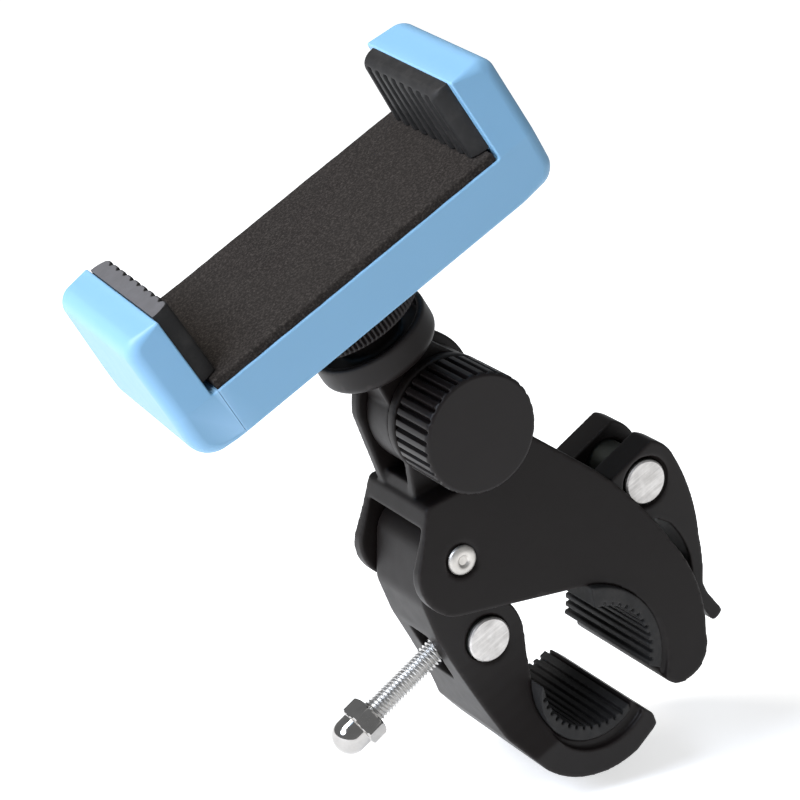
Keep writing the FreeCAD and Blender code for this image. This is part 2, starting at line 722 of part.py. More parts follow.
def spring_coil(side):
    y = side * size("rail_at")
    rail_middle = (size("rail_low") + size("rail_high")) / 2
    turns = 12
    length = POST - RAIL_END - 1.6
    helix = Part.makeHelix(length / turns, length, 1.9)
    ring = Part.Wire(Part.Circle(V(1.9, 0, 0), V(0, 1, 0), 0.3).toShape())
    coil = Part.Wire(helix).makePipeShell([ring], True, True)
    start = V(RAIL_END - half + 0.5, y, rail_middle)
    return put(coil, start, FreeCAD.Rotation(V(0, 1, 0), 90))


springs = doc.addObject("Part::Feature", "arm_spring")
springs.Label = "arm_spring"
springs.Shape = Part.Compound([spring_coil(-1), spring_coil(1)])
put(springs, HOLDER_AT, TURNED)

posts = []
for side in (-1, 1):
    post = doc.addObject("Part::Cylinder", "post_%d" % (side + 2))
    post.Radius = 1.0
    post.Height = 6.4
    put(post, HOLDER_AT + TURNED.multVec(V(POST - half + 0.8, side * size("rail_at"), 2.2)), TURNED)
    posts.append(post)
spring_post = doc.addObject("Part::Compound", "spring_post")
spring_post.Links = posts
spring_post.Label = "spring_post"

# the tongue and its cup are one moulding
head_whole = doc.addObject("Part::Fuse", "tilt_head_whole")
head_whole.Base = tilt_head
head_whole.Tool = cup
doc.recompute()

# ---------------------------------------------------------------- checks and export
NODES = {
    "upper_jaw": jaw,
    "upper_jaw_pad": upper_pad,
    "lower_jaw": lower,
    "lower_jaw_pad": lower_pad,
    "pivot_rivet": rivet,
    "barrel_nut": barrel,
    "lever_pin": lever_pin,
    "clamp_screw": screw,
    "acorn_nut": acorn,
    "cam_lever": lever,
    "knob_washer": washer,
    "tilt_knob": knob,
    "knob_screw": knob_screw,
    "clevis_nut": nut,
    "tilt_head": head_whole,
    "head_stud": stud,
    "lock_wheel": wheel,
    "holder_frame": frame,
    "holder_insert": insert,
    "foam_pad": foam,
    "fixed_arm_pad": doc.getObject("fixed_arm_pad"),
    "sliding_arm": slider,
    "sliding_arm_pad": doc.getObject("sliding_arm_pad"),
    "arm_spring": springs,
    "spring_post": spring_post,
}
os.makedirs("parts", exist_ok=True)
doc.recompute()
for thing in doc.Objects:
    if "Invalid" in thing.State or "Error" in thing.State:
        raise RuntimeError("%s is %s" % (thing.Name, thing.State))
for name, thing in NODES.items():
    shape = thing.Shape
    if shape.isNull() or not shape.isValid():
        raise RuntimeError(name + " has no valid shape")
    shape.exportStep("parts/%s.step" % name)
    box = shape.BoundBox
    print("%-16s %2d solids %9.1f mm3  x %6.1f %6.1f  y %6.1f %6.1f  z %6.1f %6.1f" % (
        name, len(shape.Solids), shape.Volume, box.XMin, box.XMax, box.YMin, box.YMax, box.ZMin, box.ZMax))
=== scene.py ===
import json
import math

import bmesh
import bpy
from mathutils import Matrix, Vector, noise


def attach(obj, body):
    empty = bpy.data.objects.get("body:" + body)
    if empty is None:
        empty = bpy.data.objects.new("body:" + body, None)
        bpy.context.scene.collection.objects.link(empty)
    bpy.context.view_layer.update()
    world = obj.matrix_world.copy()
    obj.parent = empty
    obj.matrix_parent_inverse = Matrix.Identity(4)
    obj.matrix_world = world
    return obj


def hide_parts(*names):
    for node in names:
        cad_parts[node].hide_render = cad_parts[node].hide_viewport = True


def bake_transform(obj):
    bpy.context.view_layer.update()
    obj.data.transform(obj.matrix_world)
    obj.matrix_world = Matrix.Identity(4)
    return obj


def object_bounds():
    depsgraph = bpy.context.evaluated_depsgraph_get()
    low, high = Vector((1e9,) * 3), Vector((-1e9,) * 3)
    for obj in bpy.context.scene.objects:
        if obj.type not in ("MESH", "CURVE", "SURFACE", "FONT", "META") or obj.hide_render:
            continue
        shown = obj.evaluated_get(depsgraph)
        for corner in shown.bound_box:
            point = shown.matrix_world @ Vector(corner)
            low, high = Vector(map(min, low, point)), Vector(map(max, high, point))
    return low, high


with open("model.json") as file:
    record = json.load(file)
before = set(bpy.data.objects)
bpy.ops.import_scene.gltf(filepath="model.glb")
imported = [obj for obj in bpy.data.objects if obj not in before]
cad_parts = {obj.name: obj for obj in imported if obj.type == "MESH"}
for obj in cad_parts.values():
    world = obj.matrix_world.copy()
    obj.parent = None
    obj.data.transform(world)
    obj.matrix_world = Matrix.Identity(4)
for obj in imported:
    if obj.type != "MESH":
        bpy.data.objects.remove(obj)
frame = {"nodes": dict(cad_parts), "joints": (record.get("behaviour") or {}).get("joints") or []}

CAD_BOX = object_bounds()
MM = 0.001

# ---------------------------------------------------------------- places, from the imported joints
JOINTS = {joint["name"]: joint for joint in frame["joints"]}


def joint_at(name):
    return Vector(JOINTS[name]["pos_m"])


def joint_axis(name):
    return Vector(JOINTS[name]["axis"]).normalized()


def place(origin, x_axis, z_axis):
    """Matrix from a local frame in millimetres to the model's frame in metres."""
    z_axis = z_axis.normalized()
    y_axis = z_axis.cross(x_axis).normalized()
    x_axis = y_axis.cross(z_axis)
    turn = Matrix((x_axis, y_axis, z_axis)).transposed().to_4x4()
    return Matrix.Translation(origin) @ turn @ Matrix.Scale(MM, 4)


FORWARD = Vector((1, 0, 0))
ACROSS = Vector((0, 1, 0))
UPWARD = joint_axis("holder_turn")
ALONG = -joint_axis("arm_slide")
SCREW_AXIS = joint_axis("screw_turn")
HOLDER_RISE = 33.25           # from the holder's joint up to its underside
ACORN_AT = -25.6              # from the barrel nut down the screw to the acorn nut's open end


def pin_frame(joint):
    """Local frame at a joint, its z axis across the mount towards the knob."""
    return place(joint_at(joint), FORWARD, -ACROSS)


MODEL = Matrix.Scale(MM, 4)
KNOB = pin_frame("knob_turn")
RIVET = pin_frame("jaw_pivot")
BARREL_PIN = pin_frame("barrel_swivel")
LEVER_PIN = pin_frame("lever_open")
SCREW = place(joint_at("barrel_swivel"), ACROSS, SCREW_AXIS)
SCREW_IN_LEVER = place(joint_at("lever_open"), ACROSS, SCREW_AXIS)
ACORN = place(joint_at("barrel_swivel") + SCREW_AXIS * ACORN_AT * MM, ACROSS, -SCREW_AXIS)
HEAD = place(joint_at("holder_turn"), ACROSS.cross(UPWARD), UPWARD)
HOLDER = place(joint_at("holder_turn") + UPWARD * HOLDER_RISE * MM, ALONG, UPWARD)


# ---------------------------------------------------------------- numbers
def clamped(value, low=0.0, high=1.0):
    return max(low, min(high, value))


def smooth_step(value):
    value = clamped(value)
    return value * value * (3 - 2 * value)


def spaced(low, high, step):
    """Values from low to high, about a step apart."""
    count = max(1, round((high - low) / step))
    return [low + (high - low) * i / count for i in range(count + 1)]


def round_off(radius, inside):
    """How far a rounded edge has dropped at a distance inside it."""
    if inside >= radius:
        return 0.0
    return radius - math.sqrt(max(0.0, radius ** 2 - (radius - inside) ** 2))


def grooved(turn, count, width):
    """1 at the bottom of a groove and 0 on a rib's crest."""
    across = abs((turn * count) % 1.0 - 0.5)
    return clamped((across - 0.5 + width) / (width * 0.8))


# ---------------------------------------------------------------- outlines
def arc_through(a, b, c, step):
    """Points after a, through b and up to c, on the circle through all three."""
    aa, bb, cc = a.length_squared, b.length_squared, c.length_squared
    scale = 2 * (a.x * (b.y - c.y) + b.x * (c.y - a.y) + c.x * (a.y - b.y))
    centre = Vector((aa * (b.y - c.y) + bb * (c.y - a.y) + cc * (a.y - b.y),
                     aa * (c.x - b.x) + bb * (a.x - c.x) + cc * (b.x - a.x))) / scale
    radius = (a - centre).length
    first = math.atan2(*(a - centre).yx)
    last = math.atan2(*(c - centre).yx)
    turn = math.tau if (b - a).cross(c - b) > 0 else -math.tau
    sweep = (last - first) % turn
    count = max(3, math.ceil(abs(sweep) * radius / step))
    angles = [first + sweep * i / count for i in range(1, count + 1)]
    return [centre + radius * Vector((math.cos(angle), math.sin(angle))) for angle in angles]


def rounded_corner(here, back, ahead, radius, step):
    """Points round a corner, from the side that leads back to the side that leads ahead."""
    half = back.angle(ahead) / 2
    reach = radius / math.tan(half)
    start = here + back * reach
    middle = here + (back + ahead).normalized() * (radius / math.sin(half) - radius)
    return [start] + arc_through(start, middle, here + ahead * reach, min(step, radius * 0.35))


def outline(corners, step):
    """A closed outline. Each corner is (x, y), or (x, y, radius) where it is rounded."""
    made = []
    for i, corner in enumerate(corners):
        here = Vector(corner[:2])
        if len(corner) < 3:
            made.append(here)
            continue
        back = (Vector(corners[i - 1][:2]) - here).normalized()
        ahead = (Vector(corners[(i + 1) % len(corners)][:2]) - here).normalized()
        made += rounded_corner(here, back, ahead, corner[2], step)
    return made


def dense(flat, step=1.5):
    """The outline with its straight sides divided."""
    made = []
    for i, point in enumerate(flat):
        after = flat[(i + 1) % len(flat)]
        count = max(1, math.ceil((after - point).length / step))
        made += [point.lerp(after, k / count) for k in range(count)]
    return made


def outward(flat):
    """Mitred outward normal at each point of a closed outline."""
    count = len(flat)
    area = sum(flat[i].cross(flat[(i + 1) % count]) for i in range(count))
    hand = 1 if area > 0 else -1
    normals = []
    for i in range(count):
        before = (flat[i] - flat[i - 1]).normalized()
        after = (flat[(i + 1) % count] - flat[i]).normalized()
        a = Vector((before.y, -before.x)) * hand
        b = Vector((after.y, -after.x)) * hand
        normals.append((a + b) / max(0.5, 1 + a.dot(b)))
    return normals


# ---------------------------------------------------------------- meshes
def rings(stack):
    """bmesh skinned over a stack of equal rings, capped at both ends."""
    bm = bmesh.new()
    rows = [[bm.verts.new(point) for point in level] for level in stack]
    count = len(rows[0])
    for lower, upper in zip(rows, rows[1:]):
        for i in range(count):
            bm.faces.new((lower[i], lower[(i + 1) % count], upper[(i + 1) % count], upper[i]))
    bm.faces.new(rows[0][::-1])
    bm.faces.new(rows[-1])
    bmesh.ops.recalc_face_normals(bm, faces=bm.faces)
    return bm


def ring(radius, height, segments):
    """Points round the Z axis at a height; radius(turn) has turn from 0 to 1."""
    points = []
    for i in range(segments):
        reach = radius(i / segments)
        angle = math.tau * i / segments
        points.append((reach * math.cos(angle), reach * math.sin(angle), height))
    return points


def turned(radius, heights, segments, bore=0.0):
    """bmesh round the Z axis; radius(turn, height) has turn from 0 to 1. A bore goes right through."""
    stack = [ring(lambda turn: radius(turn, height), height, segments) for height in heights]
    if not bore:
        return rings(stack)
    bottom, top = [ring(lambda turn: bore, height, segments) for height in (heights[0], heights[-1])]
    bm = rings([bottom] + stack + [top])
    for cap in [face for face in bm.faces if len(face.verts) > 4]:
        bm.faces.remove(cap)
    bmesh.ops.bridge_loops(bm, edges=[edge for edge in bm.edges if edge.is_boundary])
    bmesh.ops.recalc_face_normals(bm, faces=bm.faces)
    return bm


def lathe(profile, segments):
    """bmesh of a closed profile of (radius, height) turned about Z; a radius of 0 is on the axis."""
    bm = bmesh.new()
    rows = []
    for radius, height in profile:
        points = ring(lambda turn: radius, height, segments) if radius else [(0, 0, height)]
        rows.append([bm.verts.new(point) for point in points])
    for a, b in zip(rows, rows[1:] + rows[:1]):
        if len(a) == 1 and len(b) == 1:
            continue
        for i in range(segments):
            j = (i + 1) % segments
            corners = [a[i % len(a)], a[j % len(a)], b[j % len(b)], b[i % len(b)]]
            bm.faces.new(list(dict.fromkeys(corners)))
    bmesh.ops.recalc_face_normals(bm, faces=bm.faces)
    return bm


def soft_prism(flat, low, high, soft, steps=9):
    """bmesh of an outline in XZ run along Y from low to high; soft(point) rounds its end edges."""
    normals = outward(flat)
    radii = [soft(point) for point in flat]
    turns = [math.pi / 2 * k / steps for k in range(steps + 1)]
    levels = [(low, 1, angle) for angle in turns] + [(high, -1, angle) for angle in reversed(turns)]
    stack = []
    for end, inwards, angle in levels:
        level = []
        for point, normal, radius in zip(flat, normals, radii):
            inset = point - normal * radius * (1 - math.sin(angle))
            level.append((inset.x, end + inwards * radius * (1 - math.cos(angle)), inset.y))
        stack.append(level)
    return rings(stack)


def wire(path, radius, sides=8):
    """bmesh of a round wire along a path, its section carried along without twisting."""
    across = Vector((0.3, 0.2, 1))
    turns = [math.tau * k / sides for k in range(sides)]
    stack = []
    for i, point in enumerate(path):
        ahead = (path[min(i + 1, len(path) - 1)] - path[max(i - 1, 0)]).normalized()
        across = (across - ahead * across.dot(ahead)).normalized()
        beside = ahead.cross(across)
        stack.append([point + radius * (across * math.cos(a) + beside * math.sin(a)) for a in turns])
    return rings(stack)


def merged(parts):
    """One bmesh made of several."""
    whole = bmesh.new()
    for part in parts:
        mesh = bpy.data.meshes.new("part")
        part.to_mesh(mesh)
        part.free()
        whole.from_mesh(mesh)
        bpy.data.meshes.remove(mesh)
    return whole


# ---------------------------------------------------------------- objects
def thing(name, bm, at):
    """Object from a bmesh in a local frame."""
    mesh = bpy.data.meshes.new(name)
    bm.to_mesh(mesh)
    bm.free()
    mesh.transform(at)
    made = bpy.data.objects.new(name, mesh)
    bpy.context.scene.collection.objects.link(made)
    return made


def rod(name, radius, low, high, at, segments=48):
    """Plain round bar on a local frame's z axis, for cutting a hole."""
    return thing(name, lathe([(0, low), (radius, low), (radius, high), (0, high)], segments), at)


def applied(obj):
    """The object with its modifiers made part of its mesh."""
    bpy.context.view_layer.update()
    seen = obj.evaluated_get(bpy.context.evaluated_depsgraph_get())
    mesh = bpy.data.meshes.new_from_object(seen)
    obj.modifiers.clear()
    obj.data = mesh
    return obj


def cut(obj, *tools, operation="DIFFERENCE"):
    """The object with the tools cut out of it, or joined to it by UNION; the tools are used up."""
    for tool in tools:
        modifier = obj.modifiers.new("cut", "BOOLEAN")
        modifier.operation = operation
        modifier.solver = "EXACT"
        modifier.object = tool
    applied(obj)
    for tool in tools:
        bpy.data.objects.remove(tool)
    return obj


def shaded(obj, angle=35):
    """Smooth shading broken at sharp edges, with large faces kept flat."""
    obj.data.shade_smooth()
    obj.data.set_sharp_from_angle(angle=math.radians(angle))
    weighted = obj.modifiers.new("weighted", "WEIGHTED_NORMAL")
    weighted.keep_sharp = True
    return applied(obj)


def moulded(node, voxel=0.3, passes=12):
    """Copy of a CAD node with its edges softened, as a mould leaves them."""
    made = bpy.data.objects.new(node + "_moulding", frame["nodes"][node].data.copy())
    bpy.context.scene.collection.objects.link(made)
    remesh = made.modifiers.new("remesh", "REMESH")
    remesh.mode = "VOXEL"
    remesh.voxel_size = voxel * MM
    smooth = made.modifiers.new("smooth", "SMOOTH")
    smooth.iterations = passes
    smooth.factor = 0.5
    thin = made.modifiers.new("thin", "DECIMATE")
    thin.ratio = 0.4
    return shaded(applied(made), 60)


def piece(obj, body, material, node):
    """Finish a piece: material, the body it rides on and the CAD node it stands for."""
    obj.data.materials.clear()
    obj.data.materials.append(material)
    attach(obj, body)
    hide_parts(node)


# ---------------------------------------------------------------- materials
class Nodes:
    """Short hand for one material's node tree."""

    def __init__(self, name):
        self.material = bpy.data.materials.new(name)
        self.material.use_nodes = True
        self.tree = self.material.node_tree
        self.shader = self.tree.nodes["Principled BSDF"]
        coordinates = self.add("ShaderNodeTexCoord")
        self.place = coordinates.outputs["Object"]
        self.facing = coordinates.outputs["Normal"]

    def add(self, kind, **settings):
        """A new node; each setting is one of its inputs or, failing that, one of its attributes."""
        node = self.tree.nodes.new(kind)
        for key, value in settings.items():
            if key in node.inputs:
                node.inputs[key].default_value = value
            else:
                setattr(node, key, value)
        return node

    def link(self, output, target):
        self.tree.links.new(output, target)

    def set(self, **settings):
        """Constants on the shader's own sockets, with _ for a space in a socket's name."""
        for key, value in settings.items():
            self.shader.inputs[key.replace("_", " ")].default_value = value

    def drive(self, socket, output):
        """Link an output to one of the shader's sockets."""
        self.link(output, self.shader.inputs[socket])

    def noise(self, scale, detail=4.0, roughness=0.55, stretch=(1, 1, 1)):
        mapping = self.add("ShaderNodeMapping", Scale=stretch)
        self.link(self.place, mapping.inputs["Vector"])
        made = self.add("ShaderNodeTexNoise", Scale=scale, Detail=detail, Roughness=roughness)
        self.link(mapping.outputs["Vector"], made.inputs["Vector"])
        return made.outputs["Fac"]

    def ramp(self, value, stops):
        """Colour ramp of two stops, each a position and a grey or a colour."""
        made = self.add("ShaderNodeValToRGB")
        for element, (position, colour) in zip(made.color_ramp.elements, stops):
            element.position = position
            element.color = (*colour, 1) if hasattr(colour, "__len__") else (colour, colour, colour, 1)
        self.link(value, made.inputs["Fac"])
        return made.outputs["Color"]

    def mix(self, factor, a, b, blend="MIX"):
        """Mix of two colours; the factor and each colour are a constant or another node's output."""
        made = self.add("ShaderNodeMix", data_type="RGBA", blend_type=blend)
        for socket, value in ((made.inputs[0], factor), (made.inputs[6], a), (made.inputs[7], b)):
            if isinstance(value, bpy.types.NodeSocket):
                self.link(value, socket)
            elif hasattr(value, "__len__"):
                socket.default_value = (*value, 1)
            else:
                socket.default_value = value
        return made.outputs[2]

    def span(self, value, low, high):
        """A value from 0 to 1 spread from low to high."""
        made = self.add("ShaderNodeMapRange")
        made.inputs["To Min"].default_value = low
        made.inputs["To Max"].default_value = high
        self.link(value, made.inputs["Value"])
        return made.outputs["Result"]

    def bump(self, value, strength, distance):
        made = self.add("ShaderNodeBump", Strength=strength, Distance=distance)
        self.link(value, made.inputs["Height"])
        self.drive("Normal", made.outputs["Normal"])

    def edges(self):
        """1 on convex edges, 0 on flat ground."""
        geometry = self.add("ShaderNodeNewGeometry")
        made = self.add("ShaderNodeMapRange")
        made.inputs["From Min"].default_value = 0.5
        made.inputs["From Max"].default_value = 0.56
        self.link(geometry.outputs["Pointiness"], made.inputs["Value"])
        return made.outputs["Result"]


def black_plastic(name, dark, light, rough):
    """Moulded plastic with a fine spark-eroded grain and faint flow marks; its convex edges are painted
    paler, a painted highlight.
    """
    n = Nodes(name)
    # painted highlight: convex edges get a paler colour where light would catch them
    painted_edge_highlight = [c * 1.5 + 0.004 for c in light]
    n.drive("Base Color", n.mix(n.edges(), n.mix(n.noise(60, 3), dark, light), painted_edge_highlight))
    n.drive("Roughness", n.span(n.noise(300, 3), rough - 0.05, rough + 0.07))
    n.set(Specular_IOR_Level=0.2)
    n.bump(n.noise(4200, 2, 0.6), 0.25, 0.00003)
    return n.material


def blue_plastic():
    """Sky blue ABS, satin, with a barely visible grain and a painted highlight of paler blue on its convex
    edges.
    """
    n = Nodes("sky_blue_abs")
    cloud = n.mix(n.noise(35, 3), (0.148, 0.318, 0.490), (0.162, 0.340, 0.517))
    # painted highlight: convex edges are painted a paler blue
    n.drive("Base Color", n.mix(n.edges(), cloud, (0.25, 0.45, 0.66)))
    n.drive("Roughness", n.span(n.noise(400, 3), 0.40, 0.50))
    n.set(Specular_IOR_Level=0.4, Subsurface_Weight=0.08, Subsurface_Radius=(0.0006, 0.0009, 0.0014))
    n.bump(n.noise(2600, 2), 0.12, 0.00002)
    return n.material


def eva_foam():
    """Closed cell foam: dark brown grey with pale flecks and open cells."""
    n = Nodes("eva_foam")
    cells = n.add("ShaderNodeTexVoronoi", Scale=2600.0)
    n.link(n.place, cells.inputs["Vector"])
    flecks = n.ramp(n.noise(2100, 6, 0.8), [(0.47, 0.0), (0.66, 1.0)])
    cloud = n.mix(n.noise(160, 5, 0.65), (0.0096, 0.0078, 0.0069), (0.0172, 0.0147, 0.0132))
    n.drive("Base Color", n.mix(flecks, cloud, (0.050, 0.043, 0.039)))
    n.set(Roughness=0.92, Specular_IOR_Level=0.15)
    n.bump(n.mix(0.5, cells.outputs["Distance"], n.noise(3200, 4, 0.7)), 0.5, 0.00005)
    return n.material


def rubber(name, highlight_facing=None):
    """Black moulded rubber, slightly dusty, with a paler patchy colour painted on the faces turned towards a
    given direction: a painted highlight for the light those faces catch.
    """
    n = Nodes(name)
    dust = n.ramp(n.noise(220, 5, 0.7), [(0.45, 0.0), (0.75, 1.0)])
    colour = n.mix(dust, (0.0125, 0.0120, 0.0120), (0.027, 0.0255, 0.0245))
    # painted highlight: faces turned towards the given direction get a paler, patchy colour standing in for
    # the light they catch
    if highlight_facing:
        facing = n.add("ShaderNodeVectorMath", operation="DOT_PRODUCT")
        n.link(n.facing, facing.inputs[0])
        facing.inputs[1].default_value = highlight_facing
        painted_highlight = n.ramp(facing.outputs["Value"], [(0.80, 0.0), (0.97, 1.0)])
        highlight_colour = n.mix(n.noise(350, 5, 0.7), (0.070, 0.068, 0.070), (0.115, 0.112, 0.118))
        colour = n.mix(painted_highlight, colour, highlight_colour)
    n.drive("Base Color", colour)
    n.drive("Roughness", n.span(n.noise(500, 3), 0.52, 0.68))
    n.set(Specular_IOR_Level=0.25)
    n.bump(n.noise(3600, 2), 0.25, 0.00003)
    return n.material


def metal(name, colour, rough, stretch=(1, 1, 1), depth=0.00001):
    """Metal with fine scratches, drawn out along any axis whose stretch is below 1."""
    n = Nodes(name)
    lines = n.noise(2600, 3, 0.6, stretch)
    spots = n.ramp(n.noise(260, 4, 0.65), [(0.35, 0.82), (0.7, 1.0)])
    n.drive("Base Color", n.mix(1.0, spots, colour, "MULTIPLY"))
    n.drive("Roughness", n.span(lines, rough * 0.75, rough * 1.25))
    n.set(Metallic=1.0)
    n.bump(lines, 0.35, depth)
    return n.material


def slanted_scratches(n):
    """Scratches drawn out along a line at 60 degrees in the plane across the pins."""
    mapping = n.add("ShaderNodeMapping", vector_type="TEXTURE", Scale=(1, 1, 14))
    mapping.inputs["Rotation"].default_value = (0, math.radians(60), 0)
    n.link(n.place, mapping.inputs["Vector"])
    streaks = n.add("ShaderNodeTexNoise", Scale=1300.0, Detail=5.0, Roughness=0.7)
    n.link(mapping.outputs["Vector"], streaks.inputs["Vector"])
    return streaks.outputs["Fac"]


def beyond_middle(n, distance):
    """1 further than a distance across the mount from its middle plane, else 0."""
    spot = n.add("ShaderNodeSeparateXYZ")
    n.link(n.place, spot.inputs[0])
    from_middle = n.add("ShaderNodeMath", operation="ABSOLUTE")
    n.link(spot.outputs["Y"], from_middle.inputs[0])
    beyond = n.add("ShaderNodeMath", operation="GREATER_THAN")
    beyond.inputs[1].default_value = distance
    n.link(from_middle.outputs[0], beyond.inputs[0])
    return beyond.outputs[0]


def pin_steel():
    """Sawn and faced pin ends, bright with slanted scratches; the barrel between them is painted near black,
    a painted shade where it sits inside the parts round it.
    """
    n = Nodes("faced_steel")
    shaded_half_length = 9.5 * MM
    scratches = slanted_scratches(n)
    blotches = n.mix(0.4, scratches, n.noise(420, 4, 0.6))
    face = n.ramp(blotches, [(0.34, (0.40, 0.385, 0.37)), (0.64, (0.70, 0.68, 0.66))])
    # painted shade: the middle of the pin, within a distance of the middle plane, gets a near-black colour
    n.drive("Base Color", n.mix(beyond_middle(n, shaded_half_length), (0.09, 0.095, 0.085), face))
    n.drive("Roughness", n.span(scratches, 0.34, 0.62))
    n.set(Metallic=0.9)
    n.bump(scratches, 0.4, 0.00003)
    return n.material


BLACK = black_plastic("black_abs", (0.0050, 0.0033, 0.0030), (0.0076, 0.0055, 0.0050), 0.44)
KNOB_BLACK = black_plastic("knob_black_abs", (0.0044, 0.0028, 0.0027), (0.0068, 0.0049, 0.0047), 0.38)
BLUE = blue_plastic()
FOAM = eva_foam()
RUBBER = rubber("black_rubber")
# rubber with a painted highlight on its upward faces
HIGHLIT_RUBBER = rubber("highlit_rubber", UPWARD)
STEEL = metal("brushed_steel", (0.60, 0.575, 0.54), 0.44, stretch=(1, 1, 0.08))
PIN_STEEL = pin_steel()
ZINC = metal("zinc_steel", (0.66, 0.65, 0.635), 0.36)
CHROME = metal("chrome", (0.46, 0.445, 0.43), 0.09, depth=0.000002)
BRASS = metal("brass", (0.72, 0.55, 0.27), 0.3)


# ---------------------------------------------------------------- black mouldings and jaw pads
def black_mouldings():
    """The jaws, lever and head, whose CAD shapes are kept with softer edges."""
    bodies = {
        "upper_jaw": "clamp_body",
        "lower_jaw": "lower_jaw_arm",
        "cam_lever": "lever",
        "tilt_head": "head",
    }
    for node, body in bodies.items():
        piece(moulded(node), body, BLACK, node)


def jaw_pads():
    """The jaws' ribbed rubber pads, softened less, so that the ribs stay."""
    for node, body in (("upper_jaw_pad", "clamp_body"), ("lower_jaw_pad", "lower_jaw_arm")):
        piece(moulded(node, voxel=0.22, passes=3), body, RUBBER, node)


black_mouldings()
jaw_pads()

# ---------------------------------------------------------------- screws, nuts and pins
M5_RADIUS = 2.5
M5_PITCH = 0.8
M5_BORE = 2.56
M5_FLATS = 8.0
NUT_CHAMFER = 1.9             # radius gained for each millimetre from a nut's end
STUD_RADIUS = 3.175
STUD_PITCH = 1.27
STUD_BORE = 3.225


def threaded(name, radius, pitch, low, high, at):
    """Rod with a helical V thread and chamfered ends."""
    depth = 0.6 * pitch

    def surface(turn, height):
        across = abs((height / pitch - turn) % 1.0 - 0.5) * 2
        crest = radius - depth * clamped(1.18 * across - 0.09)
        chamfer = min(height - low, high - height) + radius - depth
        return min(crest, chamfer)

    return shaded(thing(name, turned(surface, spaced(low, high, pitch / 7), 40), at), 50)


def chamfered_hexagon(turn, end_radius, from_end):
    """Radius of an M5 hexagon whose corners are turned off near its end, down to end_radius there."""
    sector = (turn * 6) % 1.0 - 0.5
    hexagon = M5_FLATS / 2 / math.cos(math.tau * sector / 6)
    return min(hexagon, end_radius + from_end * NUT_CHAMFER)


def hexagon_heights(low, high):
    """Heights up a hexagon, closer together at its chamfered ends."""
    from_end = (0, 0.1, 0.25, 0.5)
    return [low + rise for rise in from_end] + [high - rise for rise in reversed(from_end)]


def cross_pin(name, bore, at, through):
    """Turned pin with chamfered, faintly dished ends and a cross hole."""
    radius, half_length = 4.62, 10.3
    chamfer, dish, dish_radius = 0.3, 0.06, 0.8
    profile = [(0, dish - half_length), (0.5, dish / 2 - half_length), (dish_radius, -half_length),
               (radius - chamfer, -half_length), (radius, chamfer - half_length)]
    profile += [(r, -h) for r, h in reversed(profile)]
    pin = thing(name, lathe(profile, 96), at)
    hole = rod(name + "_hole", bore, -8, 8, through)
    return shaded(cut(pin, hole), 30)


def rivet():
    """Semi-tubular rivet: shank with two low domed heads, each rolled round a shallow dimple."""
    half_length = 13.3
    shank = [(2.5, 0.9)]
    head = [(1.5, 0), (1.9, 0.02), (2.4, 0.14), (2.8, 0.36), (3.02, 0.62), (3.1, 0.9)]
    dimple = [(0, 0.5), (0.9, 0.45), (1.25, 0.12)]
    half = [(radius, below_top - half_length) for radius, below_top in dimple + head + shank]
    profile = half + [(radius, -height) for radius, height in reversed(half)]
    made = thing("pivot_rivet_turned", lathe(profile, 72), RIVET)
    piece(shaded(made, 40), "clamp_body", STEEL, "pivot_rivet")


def clamp_screw():
    """M5 screw from inside the acorn nut, through the barrel nut, to inside the lever pin."""
    pins_apart = (joint_at("lever_open") - joint_at("barrel_swivel")).length / MM
    screw = threaded("clamp_screw_threaded", M5_RADIUS, M5_PITCH, ACORN_AT - 7.0, pins_apart + 3.8, SCREW)
    piece(screw, "screw", ZINC, "clamp_screw")


def acorn_nut():
    """M5 cap nut standing on its open end: hexagon, then a collar and a dome."""
    hex_high, dome_low, dome_high = 4.2, 6.2, 9.9
    collar, collar_heights = 3.75, [4.21, 4.6, 5.4, 6.2]
    open_end = 0.02

    def surface(turn, height):
        if height <= hex_high:
            return chamfered_hexagon(turn, 0.47 * M5_FLATS, min(height + open_end, hex_high - height))
        if height <= dome_low:
            return collar
        rise = (height - dome_low) / (dome_high - dome_low)
        return max(0.02, collar * math.sqrt(max(0.0, 1 - rise ** 2.1)))

    dome_heights = [dome_low + (dome_high - dome_low) * math.sin(math.pi / 2 * i / 14) for i in range(1, 15)]
    heights = hexagon_heights(0, hex_high) + collar_heights + dome_heights
    made = thing("acorn_nut_domed", turned(surface, heights, 144), ACORN)
    piece(shaded(made, 25), "screw", CHROME, "acorn_nut")


def barrel_nut():
    made = cross_pin("barrel_nut_turned", 2.9, BARREL_PIN, SCREW)
    piece(made, "barrel", PIN_STEEL, "barrel_nut")


def lever_pin():
    made = cross_pin("lever_pin_turned", M5_BORE, LEVER_PIN, SCREW_IN_LEVER)
    piece(made, "pin", PIN_STEEL, "lever_pin")


rivet()
clamp_screw()
acorn_nut()
barrel_nut()
lever_pin()


# ---------------------------------------------------------------- knob, its screw, washer and nut
def tilt_knob():
    """Ribbed round knob with a plain, slightly rounded face and a bore for its screw."""
    radius, back, front = 12.1, 6.5, 18.3
    ribs, rib_depth, groove = 34, 0.8, 0.26
    face_round, back_chamfer, bore_end = 0.9, 0.4, 13.0

    def surface(turn, height):
        fade = clamped((front - 0.25 - height) / 0.7)
        crest = radius - rib_depth * grooved(turn, ribs, groove) * fade
        return crest - round_off(face_round, front - height) - max(0.0, back_chamfer - (height - back))

    heights = [back, back + 0.2, back + back_chamfer, 12.0, front - 1.3, front - 1.1]
    heights += [front - face_round * (1 - math.sin(math.pi / 2 * i / 7)) for i in range(8)]
    made = thing("tilt_knob_ribbed", turned(surface, heights, ribs * 12), KNOB)
    bore = rod("tilt_knob_bore", M5_RADIUS, back - 1, bore_end, KNOB)
    piece(shaded(cut(made, bore), 38), "knob", KNOB_BLACK, "tilt_knob")


def knob_screw():
    screw = threaded("knob_screw_threaded", M5_RADIUS, M5_PITCH, -9.6, 12.95, KNOB)
    piece(screw, "knob", ZINC, "knob_screw")


